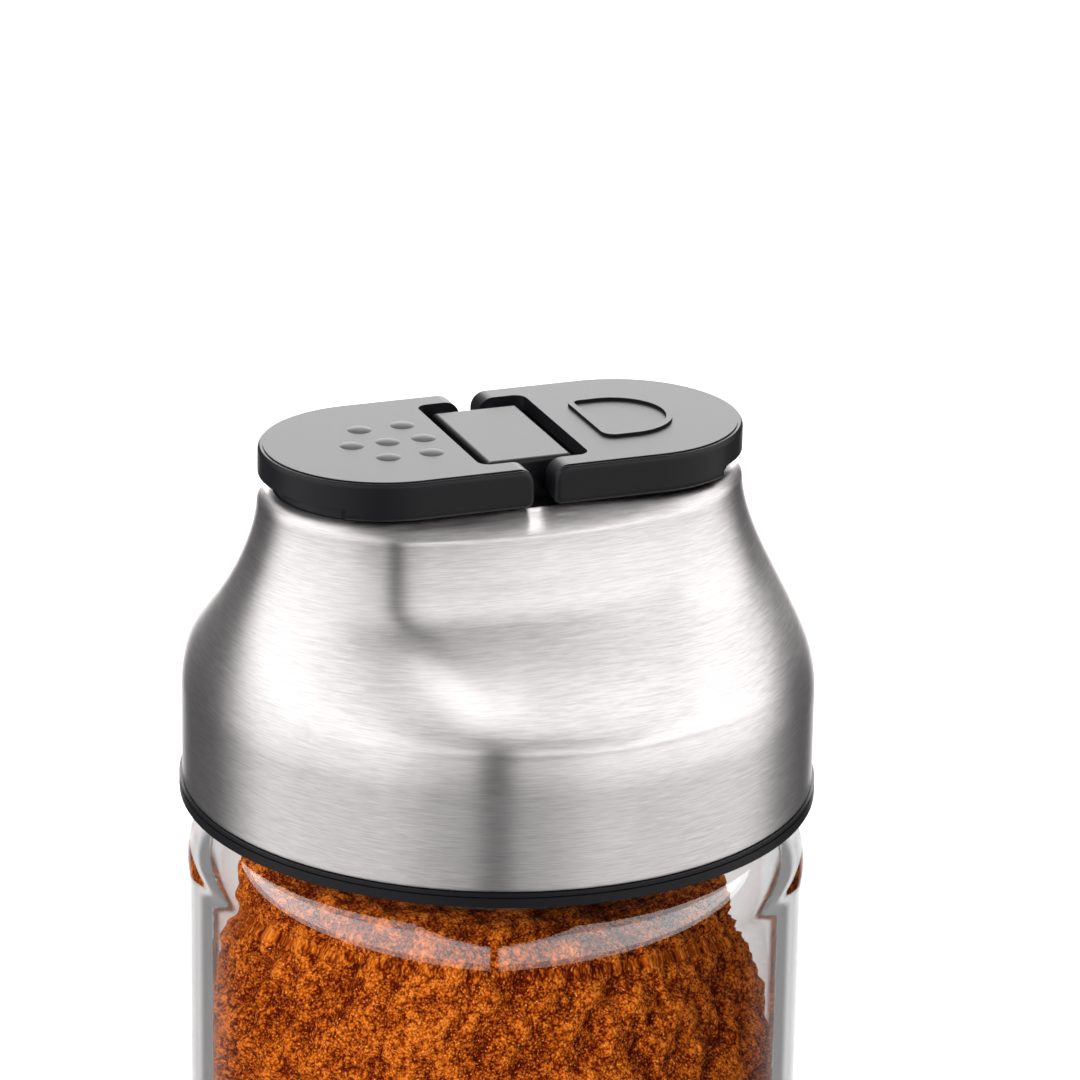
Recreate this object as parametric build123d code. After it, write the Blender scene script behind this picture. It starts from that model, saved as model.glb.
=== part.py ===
from build123d import *
import math
import os

# Table shaker for ground spice: a glass jar with a screw cap of steel and
# plastic, and two flip-up flaps, one over seven sifter holes and one over a
# pour opening.
# Millimetres, +Z up, origin in the middle of the jar's foot. +X is the long
# axis of the lid, towards the pour flap, and -Y is the front.

# ---------------------------------------------------------------- overall
total_height = 130.0          # foot to the top of the closed flaps
cap_height = 35.8             # lower edge of the steel to the top of the flaps
cap_radius = 31.5             # outside of the steel at its lower edge
glass_inset = 0.1             # the jar's wall is this much inside that edge

# ------------------------------------------------------------- clearances
slide_gap = 0.1               # between coaxial walls that are pushed together
face_gap = 0.05               # between faces that press on each other
thread_gap = 0.4              # radial, between crest and root of the threads
flank_gap = 0.35              # axial, between the loaded thread flanks
powder_gap = 0.3              # between the powder and the glass
hinge_gap = 0.05              # radial, between a pin and its flap's bore
flap_gap = 0.3                # between a closed or turning flap and the deck
pad_gap = 0.1                 # between a soft pad and its recess

# ------------------------------------------------------ how solids are cut
root_depth = 0.4              # how far a raised shape is rooted in its wall
past = 1.0                    # how far a cut runs past the faces it opens
near = 0.01                   # places closer than this are the same place

# -------------------------------------------------------------------- jar
glass_wall = 2.8
floor_thickness = 5.0
foot_fillet = 3.0
foot_ring_width = 7.4         # flat ring that the jar stands on
punt_depth = 1.6              # hollow under the jar, inside its foot ring
shoulder_radius = 7.1         # round shoulder, from the wall up to the neck
neck_wall = 2.6
neck_above_cap_edge = 11.0    # rim of the neck above the steel's lower edge
shoulder_below_cap_edge = 2.1  # top of the glass shoulder under that edge
rim_fillet = 0.8

# ----------------------------------------------------------------- thread
thread_pitch = 5.0
thread_depth = 1.5
thread_root_width = 2.4
thread_crest_width = 1.4
neck_thread_turns = 1.15
cap_thread_turns = 1.0
thread_start_above_shoulder = 5.0

# ----------------------------------------------------------------- powder
heap_flatness = 8.0           # the heap's sphere is this much wider than the powder
heap_shift = -2.0
heap_below_shoulder = 4.1     # top of the heap

# ----------------------------------------------------------------- flaps
lid_half_straight = 12.5      # straight half length of the stadium outline
flap_radius = 12.14           # round end of the flaps' outline
plate = 1.5
skirt_height = 4.0
skirt_wall = 1.2
lip_step = 1.2                # the skirt is this much shorter over the lip
lip_length = 5.04
ear_thickness = 2.74
ear_tip_reach = 1.6           # from the hinge to the ear's tip
ear_overlap = 0.4             # the ear reaches this far under the plate
ear_top_round = 1.6
ear_bottom_round = 0.9
window_corner = 1.2
flap_edge_fillet = 0.6
flap_border_width = 0.5       # border round the top, outside its raised middle
flap_border_drop = 0.14       # and how far it lies below that

# ------------------------------------------------------- hinges and bridge
hinge_x = 2.6
hinge_below_top = 2.0
pin_radius = 0.8
pin_skin = 0.64               # plastic between the pin's bore and the flap's side
pin_end_gap = 0.2
bridge_half_x = 4.45
bridge_end_gap = 1.5          # between the block and the ears
bridge_side_gap = 1.25        # between the block and the plates
bridge_below_top = 0.4
bridge_edge_round = 0.5
bridge_peg_radius = 1.2
bridge_peg_inset = 2.9        # from the block's end to its peg

# ------------------------------------------------------------------ steel
sheet = 0.5                   # steel sheet
drawn_sheet = 0.45            # the same sheet on the sides, thinned by drawing
skirt_rim_gap = 0.4           # between the flaps' skirts and the steel's top face
rim_proud = 0.06              # the steel's top rim outside the flaps' outline
rim_lip = 1.5                 # width of the lip turned in at the top
flare_start = 9.6             # the steel leaves its cylinder, above its edge
flare_end_below_rim = 0.8     # and has the neck's length below the rim
front_start = 13.4            # the front panels leave the cylinder
front_end_below_rim = 5.5     # and end, below the rim
front_onset = 1.75            # how softly the front panels begin
front_fade = 4.0              # how softly they end
side_crown = 2.2              # the long sides bulge this much in the middle
crown_onset = 0.7             # how softly the bulge begins
crown_taper = 2.5             # how fast it tapers towards the ends
crown_fade_below_rim = (1.7, 0.2)  # where the bulge starts to fade and is gone
dome_bands = 30               # narrow bands that make the shape above the cylinder
outline_points = 48           # points round each band's edge

# -------------------------------------------------------------- inner cap
collar_wall = 2.2
collar_below_edge = 1.0       # the collar reaches below the steel's edge
seal_thickness = 1.2
plate_thickness = 1.6
duct_steel_gap = 0.4          # between the duct and the steel's outline
duct_wall = 1.2
rib_count = 8
rib_width = 1.4
rib_steel_gap = 0.15

# -------------------------------------------------------------- base ring
ring_proud = 0.3              # the ring stands this far out of the steel
ring_height = 1.5
ring_lip_height = 0.35
ring_groove_width = 0.14
ring_groove_depth = 0.25
ring_spigot_height = 3.0

# --------------------------------------------------------------- lid deck
deck_plate = 1.6
deck_flange = 1.3
flange_steel_gap = 0.2        # between the deck's flange and the steel
spigot_length = 3.0
spigot_wall = 1.6
web_thickness = 1.4
web_margin = 1.25             # the web reaches this far past the centre block

# ----------------------------------------- sifter holes and pour opening
dot_middle_x = (8.2, 11.9, 15.6)
dot_side_x = (8.9, 13.35)
dot_side_y = 4.25
dot_radius = 1.25
dot_rise = 0.25
hole_radius = 1.5
peg_radius = 1.15
peg_length = 1.3
pad_thickness = 0.55
pad_recess = 0.6
pour_flat_x = 8.7             # outside of the raised D on the pour flap
pour_end_x = 17.6
pour_half_y = 5.7
pour_corner = 1.4
smallest_corner = 0.3
bead_width = 0.6
bead_rise = 0.3
pour_inset = 0.6              # the opening's wall, inside the raised D
plug_wall = 1.0

# ----------------------------------------------- radii and widths worked out
glass_radius = cap_radius - glass_inset
inner_radius = glass_radius - glass_wall
neck_radius = glass_radius - shoulder_radius
neck_bore = neck_radius - neck_wall
punt_radius = glass_radius - foot_fillet - foot_ring_width
collar_bore = neck_radius + thread_depth + thread_gap
collar_radius = collar_bore + collar_wall
ring_radius = cap_radius + ring_proud
rim_radius = flap_radius + rim_proud
opening_radius = rim_radius - rim_lip
deck_radius = opening_radius - slide_gap
deck_flange_radius = rim_radius - sheet - flange_steel_gap
duct_radius = rim_radius - sheet - duct_steel_gap
spigot_radius = duct_radius - duct_wall - slide_gap
deck_hollow_radius = spigot_radius - spigot_wall
lid_half_length = lid_half_straight + rim_radius
flap_end_x = lid_half_straight + flap_radius
lip_step_x = flap_end_x - lip_length
plate_inner_x = bridge_half_x + bridge_side_gap
ear_inner_y = flap_radius - ear_thickness
ear_tip_x = hinge_x - ear_tip_reach
ear_end_x = plate_inner_x + ear_overlap
bridge_half_y = ear_inner_y - bridge_end_gap
bridge_peg_y = bridge_half_y - bridge_peg_inset
web_half_length = bridge_half_x + web_margin
pin_half_length = flap_radius - pin_skin - pin_end_gap
trench_half_width = ear_inner_y - flap_gap

# ----------------------------------------- room that an ear needs as it turns
ear_drop = skirt_height - hinge_below_top
ear_end_swing = math.hypot(ear_end_x - hinge_x, ear_drop)
ear_tip_swing = ear_bottom_round + math.hypot(ear_tip_reach - ear_bottom_round,
                                              ear_drop - ear_bottom_round)
trench_half_length = hinge_x + ear_end_swing + flap_gap

# ----------------------------------------------------- heights worked out
cap_z = total_height - cap_height
rim_z = total_height - skirt_height - skirt_rim_gap
shoulder_z = cap_z - shoulder_below_cap_edge
arc_z = shoulder_z - shoulder_radius
neck_z = cap_z + neck_above_cap_edge
underside_z = total_height - plate
deck_z = underside_z - flap_gap
hinge_z = total_height - hinge_below_top
trench_z = hinge_z - ear_tip_swing - flap_gap
lip_underside_z = rim_z - sheet
flange_top_z = lip_underside_z - face_gap
flange_z = flange_top_z - deck_flange
duct_top_z = flange_z - face_gap
plate_z = neck_z + seal_thickness + 2 * face_gap


# ------------------------------------------------------------ helpers

def stadium(half_straight, radius, z, height):
    """Upright block with a stadium outline, long axis along X."""
    outline = SlotCenterToCenter(2 * half_straight, 2 * radius)
    return extrude(Pos(0, 0, z) * outline, amount=height)


def tube(outer, inner, z, height):
    """Upright tube."""
    base = Align.CENTER, Align.CENTER, Align.MIN
    body = Cylinder(outer, height, align=base) - Cylinder(inner, height, align=base)
    return Pos(0, 0, z) * body


def block(x0, x1, y0, y1, z0, z1):
    """Box between two corners, in any order along X."""
    lo, hi = min(x0, x1), max(x0, x1)
    size = Box(hi - lo, y1 - y0, z1 - z0, align=(Align.MIN,) * 3)
    return Pos(lo, y0, z0) * size


def upright_rod(x, y, z, radius, height):
    """Upright cylinder standing on z."""
    base = Align.CENTER, Align.CENTER, Align.MIN
    return Pos(x, y, z) * Cylinder(radius, height, align=base)


def cross_rod(x, z, radius, half_length):
    """Cylinder along Y, centred on the lid's middle plane."""
    return Pos(x, 0, z) * Rot(90, 0, 0) * Cylinder(radius, 2 * half_length)


def helical_thread(wall_radius, depth, z, turns, outward):
    """Right-handed trapezoid thread, rooted a little in the wall it stands on."""
    way = 1 if outward else -1
    root = wall_radius - way * root_depth
    crest = wall_radius + way * depth
    half_root, half_crest = thread_root_width / 2, thread_crest_width / 2
    path = Helix(pitch=thread_pitch, height=turns * thread_pitch, radius=wall_radius)
    corners = [(root, -half_root), (crest, -half_crest), (crest, half_crest), (root, half_root)]
    section = make_face(Polyline(*[(x, 0, h) for x, h in corners], close=True))
    return Pos(0, 0, z) * sweep(section, path=path, is_frenet=True)


def smooth_step(t):
    """0 to 1 with level ends."""
    t = min(max(t, 0.0), 1.0)
    return t * t * (3 - 2 * t)


def dome_outline(z):
    """Straight half length, round radius and crown of the steel at height z.

    The half length goes from the cylinder's radius to the lid's in one
    smooth step. The straight sides of the stadium grow from nothing to the
    lid's, which makes the steep panels at front and back. They are crowned,
    and the crown fades under the rim, where the outline is the lid's.
    """
    flare_end = rim_z - flare_end_below_rim
    flare = smooth_step((z - cap_z - flare_start) / (flare_end - cap_z - flare_start))
    half_length = cap_radius - (cap_radius - lid_half_length) * flare
    front_end = rim_z - front_end_below_rim
    u = (z - cap_z - front_start) / (front_end - cap_z - front_start)
    u = min(max(u, 0.0), 1.0)
    straight = lid_half_straight * (1 - (1 - u ** front_onset) ** front_fade)
    fade_start, fade_end = (rim_z - drop for drop in crown_fade_below_rim)
    fade = smooth_step((z - fade_start) / (fade_end - fade_start))
    crown = side_crown * u ** crown_onset * (1 - fade)
    return straight, half_length - straight, crown


def outline_wire(straight, radius, crown, z):
    """Closed smooth curve through points evenly spaced round a stadium with crowned sides."""
    arc = math.pi * radius / 2
    quarter = straight + arc
    ring = []
    for k in range(outline_points):
        s = 4 * quarter * k / outline_points
        side, along = divmod(s, quarter)
        along = along if side in (0, 2) else quarter - along
        if along < arc:
            x = straight + radius * math.cos(along / radius)
            y = radius * math.sin(along / radius)
        else:
            x, y = straight - (along - arc), radius
        y += crown * max(1 - (x / (straight + radius)) ** 2, 0) ** crown_taper
        sign_x = 1 if side in (0, 3) else -1
        sign_y = 1 if side in (0, 1) else -1
        ring.append((sign_x * x, sign_y * y, z))
    return Wire(Spline(*ring, periodic=True))


def dome_solid(inset, drop, z_low, z_high):
    """Bands of the steel's outline, set in by inset and lowered by drop."""
    flare_z = cap_z + flare_start - drop
    step = (z_high - flare_z) / dome_bands
    wires = []
    for z in [z_low] + [flare_z + k * step for k in range(dome_bands)] + [z_high]:
        straight, radius, crown = dome_outline(z + drop)
        wires.append(outline_wire(straight, radius - inset, crown, z))
    return Solid.make_loft(wires, ruled=True)


# ------------------------------------------------------------ the jar

def round_corner(start, end, centre):
    """Quarter arc between two points at the same distance from a centre."""
    radius = math.dist(start, centre)
    across = Vector(*start) + Vector(*end) - 2 * Vector(*centre)
    middle = Vector(*centre) + across.normalized() * radius
    return ThreePointArc(start, (middle.X, middle.Y), end)


def glass_jar():
    """Thick glass jar with a round shoulder and a threaded neck."""
    inner_top = shoulder_z - glass_wall
    foot = glass_radius - foot_fillet
    floor_edge = inner_radius - foot_fillet
    floor_arc_z = floor_thickness + foot_fillet
    with BuildSketch(Plane.XZ) as profile:
        with BuildLine():
            Polyline((0, punt_depth), (punt_radius - punt_depth, punt_depth),
                     (punt_radius, 0), (foot, 0))
            round_corner((foot, 0), (glass_radius, foot_fillet), (foot, foot_fillet))
            Line((glass_radius, foot_fillet), (glass_radius, arc_z))
            round_corner((glass_radius, arc_z), (neck_radius, shoulder_z), (neck_radius, arc_z))
            Polyline((neck_radius, shoulder_z), (neck_radius, neck_z), (neck_bore, neck_z),
                     (neck_bore, inner_top), (neck_radius, inner_top))
            round_corner((neck_radius, inner_top), (inner_radius, arc_z), (neck_radius, arc_z))
            Line((inner_radius, arc_z), (inner_radius, floor_arc_z))
            round_corner((inner_radius, floor_arc_z), (floor_edge, floor_thickness),
                         (floor_edge, floor_arc_z))
            Polyline((floor_edge, floor_thickness), (0, floor_thickness), (0, punt_depth))
        make_face()
    jar = revolve(profile.sketch, Axis.Z)
    rim_edges = [e for e in jar.edges().filter_by(GeomType.CIRCLE)
                 if abs(e.center().Z - neck_z) < near]
    jar = fillet(rim_edges, rim_fillet)
    thread = helical_thread(neck_radius, thread_depth,
                            shoulder_z + thread_start_above_shoulder, neck_thread_turns, True)
    return jar + thread


def spice_fill():
    """Ground spice that fills the jar to a rounded heap under the shoulder."""
    radius = inner_radius - powder_gap
    floor_z = floor_thickness + powder_gap
    heap_radius = radius + heap_flatness
    heap_z = shoulder_z - heap_below_shoulder - heap_radius
    body = upright_rod(0, 0, floor_z, radius, heap_z - floor_z)
    bottom = body.edges().filter_by(GeomType.CIRCLE).sort_by(Axis.Z)[0]
    body = fillet(bottom, foot_fillet)
    heap = upright_rod(0, 0, heap_z, radius, heap_radius)
    heap = heap & (Pos(heap_shift, 0, heap_z) * Sphere(heap_radius))
    return body + heap


# ------------------------------------------------------------ the cap

def jar_seal():
    """Soft ring between the neck's rim and the inner cap's plate."""
    outer = collar_bore - 2 * slide_gap
    inner = neck_bore + 2 * slide_gap
    return tube(outer, inner, neck_z + face_gap, seal_thickness)


def inner_cap():
    """Plastic screw collar with a top plate and an upright stadium duct."""
    bottom = cap_z - collar_below_edge
    body = tube(collar_radius, collar_bore, bottom, plate_z - bottom)
    body += upright_rod(0, 0, plate_z, collar_radius, plate_thickness)
    duct_z = plate_z + plate_thickness
    body += stadium(lid_half_straight, duct_radius, duct_z, duct_top_z - duct_z)
    body -= stadium(lid_half_straight, duct_radius - duct_wall, plate_z, duct_top_z - plate_z)
    rib_top = min(plate_z, cap_z + flare_start)
    rib_z = cap_z + ring_spigot_height + slide_gap
    rib_root = collar_radius - root_depth
    rib_reach = cap_radius - sheet - rib_steel_gap
    for k in range(rib_count):
        rib = block(rib_root, rib_reach, -rib_width / 2, rib_width / 2, rib_z, rib_top)
        body += Rot(0, 0, 360 * (k + 0.5) / rib_count) * rib
    start = shoulder_z + thread_start_above_shoulder - thread_pitch / 2 + loaded_shift()
    thread = helical_thread(collar_bore, thread_depth, start, cap_thread_turns, False)
    return body + thread


def loaded_shift():
    """How far the cap's thread is lifted from midway, up to the loaded flanks."""
    slope = (thread_root_width - thread_crest_width) / (thread_depth + root_depth)
    thickness = thread_crest_width + slope * (thread_depth - thread_gap)
    return thread_pitch / 2 - thickness - flank_gap


def base_ring():
    """Black ring that closes the space between the collar and the steel."""
    bore = collar_radius + slide_gap
    spigot = cap_radius - sheet - slide_gap
    lip_z = cap_z - face_gap - ring_lip_height
    groove_z = lip_z - ring_groove_width
    low = cap_z - ring_height
    ring = tube(ring_radius, bore, low, groove_z - low)
    ring += tube(ring_radius - ring_groove_depth, bore, groove_z, ring_groove_width)
    ring += tube(ring_radius, bore, lip_z, ring_lip_height)
    top = cap_z + ring_spigot_height
    return ring + tube(spigot, bore, cap_z - face_gap, top - cap_z + face_gap)


def steel_dome():
    """Pressed steel shell, round below and stadium-shaped above."""
    outer = dome_solid(0, 0, cap_z, rim_z)
    hollow = dome_solid(drawn_sheet, sheet, cap_z - past, lip_underside_z)
    opening = stadium(lid_half_straight, opening_radius, lip_underside_z - past,
                      sheet + 2 * past)
    return outer - hollow - opening


# ------------------------------------------------------------ the lid

def pour_outline(inset):
    """D-shaped face: a flat side towards the hinge and a round far side."""
    flat = pour_flat_x + inset
    half = pour_half_y - inset
    centre = pour_end_x - pour_half_y
    with BuildSketch() as shape:
        with BuildLine():
            Line((centre, -half), (flat, -half))
            Line((flat, -half), (flat, half))
            Line((flat, half), (centre, half))
            ThreePointArc((centre, half), (centre + half, 0), (centre, -half))
        make_face()
        corners = [v for v in shape.vertices() if abs(v.X - flat) < near]
        fillet(corners, max(pour_corner - inset, smallest_corner))
    return shape.sketch


def dot_places():
    """Centres of the seven sifter holes, on the -X side."""
    places = [(-x, 0) for x in dot_middle_x]
    places += [(-x, y) for x in dot_side_x for y in (-dot_side_y, dot_side_y)]
    return places


def lid_deck():
    """Plastic deck with the sifter holes, the pour opening and the hinge seat."""
    deck = stadium(lid_half_straight, deck_radius, flange_z, deck_z - flange_z)
    deck += stadium(lid_half_straight, deck_flange_radius, flange_z, flange_top_z - flange_z)
    low = flange_z - spigot_length
    deck += stadium(lid_half_straight, spigot_radius, low, spigot_length)
    hollow = stadium(lid_half_straight, deck_hollow_radius, low, deck_z - deck_plate - low)
    web_z = trench_z - web_thickness
    far = lid_half_straight + deck_radius
    web = block(-web_half_length, web_half_length, -far, far, web_z, deck_z)
    deck -= hollow - web
    for way in (-1, 1):
        y0, y1 = sorted((way * trench_half_width, way * far))
        deck -= block(-trench_half_length, trench_half_length, y0, y1, trench_z, deck_z)
    seat_x = bridge_half_x + face_gap
    deck -= block(-seat_x, seat_x, -far, far, trench_z, deck_z)
    for way in (-1, 1):
        peg = bridge_peg_radius + face_gap
        deck -= upright_rod(0, way * bridge_peg_y, web_z, peg, web_thickness)
    for x, y in dot_places():
        deck -= upright_rod(x, y, deck_z - deck_plate, hole_radius, deck_plate)
    opening = Pos(0, 0, deck_z - deck_plate) * pour_outline(pour_inset)
    return deck - extrude(opening, amount=deck_plate)


def hinge_bridge():
    """Centre block that both hinge pins pass through."""
    top = total_height - bridge_below_top
    body = block(-bridge_half_x, bridge_half_x, -bridge_half_y, bridge_half_y, trench_z, top)
    body = fillet(body.edges().group_by(Axis.Z)[-1], bridge_edge_round)
    for way in (-1, 1):
        body += upright_rod(0, way * bridge_peg_y, trench_z - web_thickness,
                            bridge_peg_radius, web_thickness + root_depth)
        body -= cross_rod(way * hinge_x, hinge_z, pin_radius + face_gap, bridge_half_y + past)
    return body


def hinge_pin(way):
    """Steel pin through the bridge and the two ears of one flap."""
    return cross_rod(way * hinge_x, hinge_z, pin_radius, pin_half_length)


def flap_body(way):
    """Plain flap: plate, skirt and two ears, on the +X or -X side."""
    top, low = total_height, total_height - skirt_height
    far = flap_end_x
    body = stadium(lid_half_straight, flap_radius, low, skirt_height)
    inside = stadium(lid_half_straight, flap_radius - skirt_wall, low, skirt_height - plate)
    window = block(-far, plate_inner_x, -ear_inner_y, ear_inner_y, low, top)
    corners = [e for e in window.edges().filter_by(Axis.Z) if e.center().X > 0]
    window = fillet(corners, window_corner)
    ear_fill = block(ear_tip_x, ear_end_x, -far, far, low, top)
    ear_fill -= block(ear_tip_x, ear_end_x, -ear_inner_y, ear_inner_y, low, top)
    body = body - (inside - ear_fill) - window
    body -= block(-far, ear_tip_x, -far, far, low, top)
    body -= block(lip_step_x, far, -far, far, low, low + lip_step)
    for z, size in ((top, ear_top_round), (low, ear_bottom_round)):
        tips = [e for e in body.edges().filter_by(Axis.Y)
                if abs(e.center().X - ear_tip_x) < near and abs(e.center().Z - z) < near]
        body = fillet(tips, size)
    rim = [e for e in body.edges() if e.center().Z > top - near
           and (abs(e.center().Y) > flap_radius - near or e.center().X > lid_half_straight)]
    body = fillet(rim, flap_edge_fillet)
    border_z = top - flap_border_drop
    border = stadium(lid_half_straight, flap_radius + past, border_z, past)
    border -= stadium(lid_half_straight, flap_radius - flap_border_width, border_z, past)
    body -= border
    bore = pin_radius + hinge_gap
    body -= cross_rod(hinge_x, hinge_z, bore, pin_half_length + pin_end_gap)
    return body if way > 0 else mirror(body, Plane.YZ)


def pad_outline(grow):
    """Rounded rectangle over the sifter holes, on the -X side."""
    x0 = min(dot_middle_x) - hole_radius - grow
    x1 = max(dot_middle_x) + hole_radius + grow
    half_y = dot_side_y + hole_radius + grow
    return Pos(-(x0 + x1) / 2, 0, 0) * RectangleRounded(x1 - x0, 2 * half_y, hole_radius + grow)


def shaker_flap():
    """Flap over the sifter holes, with seven raised dots."""
    body = flap_body(-1)
    body -= extrude(Pos(0, 0, underside_z) * pad_outline(pad_gap), amount=pad_recess)
    sphere_radius = (dot_radius ** 2 + dot_rise ** 2) / (2 * dot_rise)
    for x, y in dot_places():
        ball = Pos(x, y, total_height + dot_rise - sphere_radius) * Sphere(sphere_radius)
        low = total_height - root_depth
        body += ball & upright_rod(x, y, low, sphere_radius, root_depth + 2 * dot_rise)
    return body


def pour_flap():
    """Flap over the pour opening, with a raised D line."""
    body = flap_body(1)
    recess = pour_outline(pour_inset - plug_wall)
    body -= extrude(Pos(0, 0, underside_z) * recess, amount=pad_recess)
    bead = pour_outline(0) - pour_outline(bead_width)
    low = total_height - root_depth
    return body + extrude(Pos(0, 0, low) * bead, amount=bead_rise + root_depth)


def shaker_plug():
    """Soft pad under the shaker flap, with a peg for each sifter hole."""
    top = underside_z + pad_recess - face_gap
    pad = extrude(Pos(0, 0, top - pad_thickness) * pad_outline(0), amount=pad_thickness)
    low = underside_z - peg_length
    for x, y in dot_places():
        pad += upright_rod(x, y, low, peg_radius, top - pad_thickness / 2 - low)
    return pad


def pour_plug():
    """Soft pad under the pour flap, with a wall that enters the opening."""
    top = underside_z + pad_recess - face_gap
    outline = pour_outline(pour_inset - plug_wall + pad_gap)
    pad = extrude(Pos(0, 0, top - pad_thickness) * outline, amount=pad_thickness)
    low = underside_z - peg_length
    wall = pour_outline(pour_inset + flap_gap) - pour_outline(pour_inset + flap_gap + plug_wall)
    return pad + extrude(Pos(0, 0, low) * wall, amount=top - pad_thickness / 2 - low)


NODES = {
    "glass_jar": glass_jar,
    "spice_fill": spice_fill,
    "jar_seal": jar_seal,
    "inner_cap": inner_cap,
    "base_ring": base_ring,
    "steel_dome": steel_dome,
    "lid_deck": lid_deck,
    "hinge_bridge": hinge_bridge,
    "shaker_hinge_pin": lambda: hinge_pin(-1),
    "pour_hinge_pin": lambda: hinge_pin(1),
    "shaker_flap": shaker_flap,
    "pour_flap": pour_flap,
    "shaker_plug": shaker_plug,
    "pour_plug": pour_plug,
}

os.makedirs("parts", exist_ok=True)
for name, make in NODES.items():
    export_step(make(), f"parts/{name}.step")
    print("wrote", name)
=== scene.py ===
# %% [markdown]
# # A table shaker for ground spice
# The object is a thick glass jar under a brushed steel cap, with a black lid
# of two flaps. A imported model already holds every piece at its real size, so
# this notebook only gives it a finished surface, piece by piece, and lights it
# like a small studio shot. Lengths are metres, and +Z is up.

import math

import bmesh
import bpy
import numpy as np
from mathutils import Matrix, Vector

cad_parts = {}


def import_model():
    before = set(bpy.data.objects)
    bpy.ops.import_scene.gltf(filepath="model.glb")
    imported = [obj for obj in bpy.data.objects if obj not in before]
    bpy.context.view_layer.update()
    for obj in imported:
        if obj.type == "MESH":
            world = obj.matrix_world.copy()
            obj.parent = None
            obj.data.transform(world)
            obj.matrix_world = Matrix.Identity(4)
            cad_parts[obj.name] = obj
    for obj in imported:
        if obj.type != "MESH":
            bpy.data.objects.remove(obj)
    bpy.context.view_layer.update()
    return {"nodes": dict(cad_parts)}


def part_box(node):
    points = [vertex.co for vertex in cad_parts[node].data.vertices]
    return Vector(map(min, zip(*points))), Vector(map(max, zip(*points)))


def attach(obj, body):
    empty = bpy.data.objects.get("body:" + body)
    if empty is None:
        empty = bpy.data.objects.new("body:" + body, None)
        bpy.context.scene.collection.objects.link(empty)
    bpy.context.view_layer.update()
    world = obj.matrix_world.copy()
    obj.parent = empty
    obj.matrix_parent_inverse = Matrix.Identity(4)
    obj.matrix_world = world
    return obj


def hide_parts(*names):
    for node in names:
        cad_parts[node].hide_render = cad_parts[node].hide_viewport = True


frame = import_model()
mm = 0.001
print("nodes in the frame:", len(frame["nodes"]))

# %% [markdown]
# ## Sizes
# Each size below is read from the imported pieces, so a finished surface always
# lies where its piece does. Only what the boxes can't tell is written out.

# %% Sizes read from the frame
steel_low, steel_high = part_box("steel_dome")
powder_low, powder_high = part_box("spice_fill")
jar_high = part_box("glass_jar")[1]
flap_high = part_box("pour_flap")[1]

edge_z = steel_low.z                    # lower edge of the steel
rim_z = steel_high.z                    # its top face
cap_radius = steel_high.x
neck_z = jar_high.z
glass_radius = jar_high.x
flap_radius = flap_high.y               # of the lid's round ends
lid_straight = flap_high.x - flap_high.y    # half length of its straight sides
rim_overhang = 0.06 * mm                # how far the steel's rim reaches past the flaps
rim_radius = flap_radius + rim_overhang

# %% [markdown]
# ## Camera
# A long lens keeps the cap's ellipses flat. The camera looks down on the front
# from a little left of it. It is aimed at the middle of the steel's lower
# edge first, then turned a little in its own axes to place that point low in
# the picture. A lens shift could do the same, but it would carry over to every
# other view, so it stays at zero.

# %% Camera
view_yaw = math.radians(20.86)          # left of the front
view_tilt = math.radians(22.32)         # above the table
view_distance = 0.6
picture = 1080                          # pixels across the square picture
focal_pixels = 5983
aim_pixel = (497.1, 766.7)              # where the aimed point shows
lean = math.radians(0.83)               # the picture leans to the right

camera = bpy.data.objects.new("camera", bpy.data.cameras.new("camera"))
bpy.context.scene.collection.objects.link(camera)
bpy.context.scene.camera = camera
camera.data.sensor_width = 36
camera.data.lens = focal_pixels / picture * camera.data.sensor_width
aim = Vector((0, 0, edge_z))
camera_way = Vector((-math.sin(view_yaw) * math.cos(view_tilt),
                     -math.cos(view_yaw) * math.cos(view_tilt), math.sin(view_tilt)))
right_px, down_px = aim_pixel[0] - picture / 2, aim_pixel[1] - picture / 2
look = (-camera_way).to_track_quat("-Z", "Y").to_matrix().to_4x4()
pan = Matrix.Rotation(math.asin(right_px / focal_pixels), 4, "Y")
nod = Matrix.Rotation(math.asin(down_px / focal_pixels), 4, "X")
roll = Matrix.Rotation(lean, 4, "Z")
camera.matrix_world = Matrix.Translation(aim + view_distance * camera_way) @ look @ roll @ pan @ nod
print("camera at", [round(c, 4) for c in camera.matrix_world.translation])

# %% [markdown]
# ## Surfaces from grids
# Every new piece is a grid of points: rows run along a profile, and columns
# run round the piece. A Screw modifier or a loft could turn a drawn curve too,
# but a formula keeps every size a named value. The grid is worked out as whole
# arrays and handed to the mesh at once. The faces are turned outwards by the
# sign of the volume that they enclose, and a row that has shrunk to one point
# is merged, so a pole is closed.


# %% Grid to mesh
def grid_faces(rows, columns, closed_rows):
    """Quads between neighbouring rows and columns. The columns always close on themselves."""
    index = np.arange(rows * columns).reshape(rows, columns)
    below = index if closed_rows else index[:-1]
    above = np.roll(index, -1, axis=0) if closed_rows else index[1:]
    quads = [below, np.roll(below, -1, axis=1), np.roll(above, -1, axis=1), above]
    return np.stack(quads, axis=-1).reshape(-1, 4)


def enclosed(points, faces):
    """Volume inside the faces: a sixth of the sum of p0 . (p1 x p2), over both triangles."""
    corner = points[faces]
    total = 0.0
    for a, b in ((1, 2), (2, 3)):
        total += np.einsum("ij,ij->", corner[:, 0], np.cross(corner[:, a], corner[:, b]))
    return total / 6


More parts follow.
